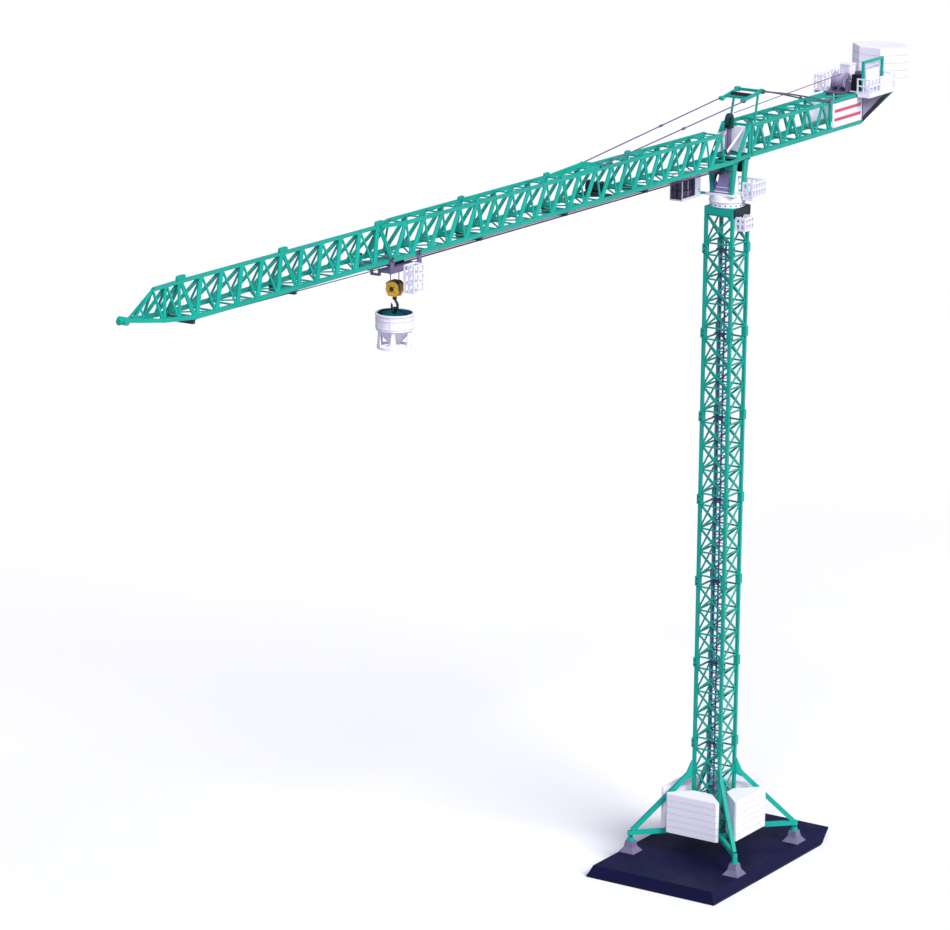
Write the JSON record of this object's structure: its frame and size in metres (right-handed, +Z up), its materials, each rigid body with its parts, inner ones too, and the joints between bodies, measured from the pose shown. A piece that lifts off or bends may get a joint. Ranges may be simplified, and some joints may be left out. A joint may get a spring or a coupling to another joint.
{
  "type": "toy tower crane",
  "caption": "Scale-model hammerhead tower crane: lattice mast on a ballasted cross base, slewing jib with travelling trolley, hook block and skip, counter-jib with winch.",
  "frame": {"origin": "centre of the plinth's underside, on the slewing axis of the crane", "axes": "+X along the plinth and out towards the jib nose at rest, +Z up the mast, +Y completes the right-handed frame (the side of the platforms and the trolley's basket; the cab is on -Y)"},
  "size_m": [1.2343, 0.1402, 0.7516],
  "materials": {
    "navy_plastic": "satin",
    "grey_plastic": "satin",
    "teal_paint": "satin",
    "dark_metal": "satin",
    "white_plastic": "satin",
    "white_paint": "satin",
    "cab_glass": "gloss",
    "dark_plastic": "matte",
    "rod_grey": "satin",
    "rod_dark": "satin",
    "dark_teal": "satin",
    "yellow_paint": "satin",
    "rope_red": "matte",
    "rope_dark": "matte"
  },
  "bodies": {
    "base": {"plinth": "navy_plastic", "foot_pedestals": "grey_plastic", "cross_base": "teal_paint", "base_struts": "teal_paint", "mast_foot": "teal_paint", "mast_section_1": "teal_paint", "mast_section_2": "teal_paint", "mast_section_3": "teal_paint", "mast_section_4": "teal_paint", "mast_section_5": "teal_paint", "mast_section_6": "teal_paint", "mast_head": "teal_paint", "mast_pins": "dark_metal", "mast_ladder": "dark_metal", "mast_platform": "white_plastic", "ballast_front": "white_paint", "ballast_side": "white_paint", "slew_ring_lower": "white_paint"},
    "upper_works": {"slew_ring_upper": "white_paint", "turret_frame": "teal_paint", "turret_panels": "white_plastic", "turret_deck": "white_plastic", "cab_shell": "white_plastic", "cab_glazing": "cab_glass", "cab_seat": "dark_plastic", "jib_section_1": "teal_paint", "jib_section_2": "teal_paint", "jib_section_3": "teal_paint", "jib_section_4": "teal_paint", "jib_section_5": "teal_paint", "jib_section_6": "teal_paint", "jib_tip": "teal_paint", "jib_pins": "teal_paint", "rope_brackets": "dark_metal", "trolley_drive": "dark_metal", "cathead_frame": "teal_paint", "cathead_roller": "dark_metal", "front_pendants": "rod_grey", "rear_pendants": "rod_dark", "counter_jib": "teal_paint", "sign_panels": "white_plastic", "machine_deck": "white_plastic", "winch_frame": "rod_grey", "machinery_cabinets": "white_plastic", "resistor_box": "dark_plastic", "portal_frame": "teal_paint", "counterweights": "white_paint", "running_ropes": "rope_red", "rope_guides": "dark_teal"},
    "winch_drum": {"winch_drum": "dark_metal"},
    "trolley": {"trolley_frame": "rod_grey", "trolley_housing": "dark_teal", "service_basket": "white_plastic", "hoist_falls": "rope_dark"},
    "hook_block": {"hook_block": "yellow_paint"},
    "block_sheave": {"block_sheave": "dark_metal"},
    "hook": {"hook": "dark_metal"},
    "skip": {"skip_bowl": "white_plastic", "skip_stand": "white_plastic", "skip_bail": "teal_paint"}
  },
  "joints": [
    {"name": "slew", "type": "hinge", "parent": "base", "child": "upper_works", "pos_m": [0, 0, 0.645], "axis": [0, 0, 1], "continuous": true},
    {"name": "trolley_travel", "type": "slide", "parent": "upper_works", "child": "trolley", "axis": [1, 0, 0.0092], "range_m": [-0.395, 0.25]},
    {"name": "hoist", "type": "slide", "parent": "trolley", "child": "hook_block", "axis": [0, 0, 1], "range_m": [-0.598, 0.004], "deforming": ["hoist_falls"]},
    {"name": "sheave_spin", "type": "hinge", "parent": "hook_block", "child": "block_sheave", "pos_m": [0.548, 0, 0.66], "axis": [1, 0, 0], "continuous": true},
    {"name": "drum_spin", "type": "hinge", "parent": "upper_works", "child": "winch_drum", "pos_m": [-0.221, -0.004, 0.726], "axis": [0, 1, 0], "continuous": true},
    {"name": "hook_swivel", "type": "hinge", "parent": "hook_block", "child": "hook", "pos_m": [0.548, 0, 0.652], "axis": [0, 0, 1], "continuous": true},
    {"name": "skip_swing", "type": "hinge", "parent": "hook", "child": "skip", "pos_m": [0.548, 0, 0.6417], "axis": [0, 1, 0], "range_deg": [-25, 25]}
  ],
  "couplings": [
    {"joint": "drum_spin", "follows": "hoist", "rad_per_m": -333},
    {"joint": "sheave_spin", "follows": "hoist", "rad_per_m": 241}
  ]
}
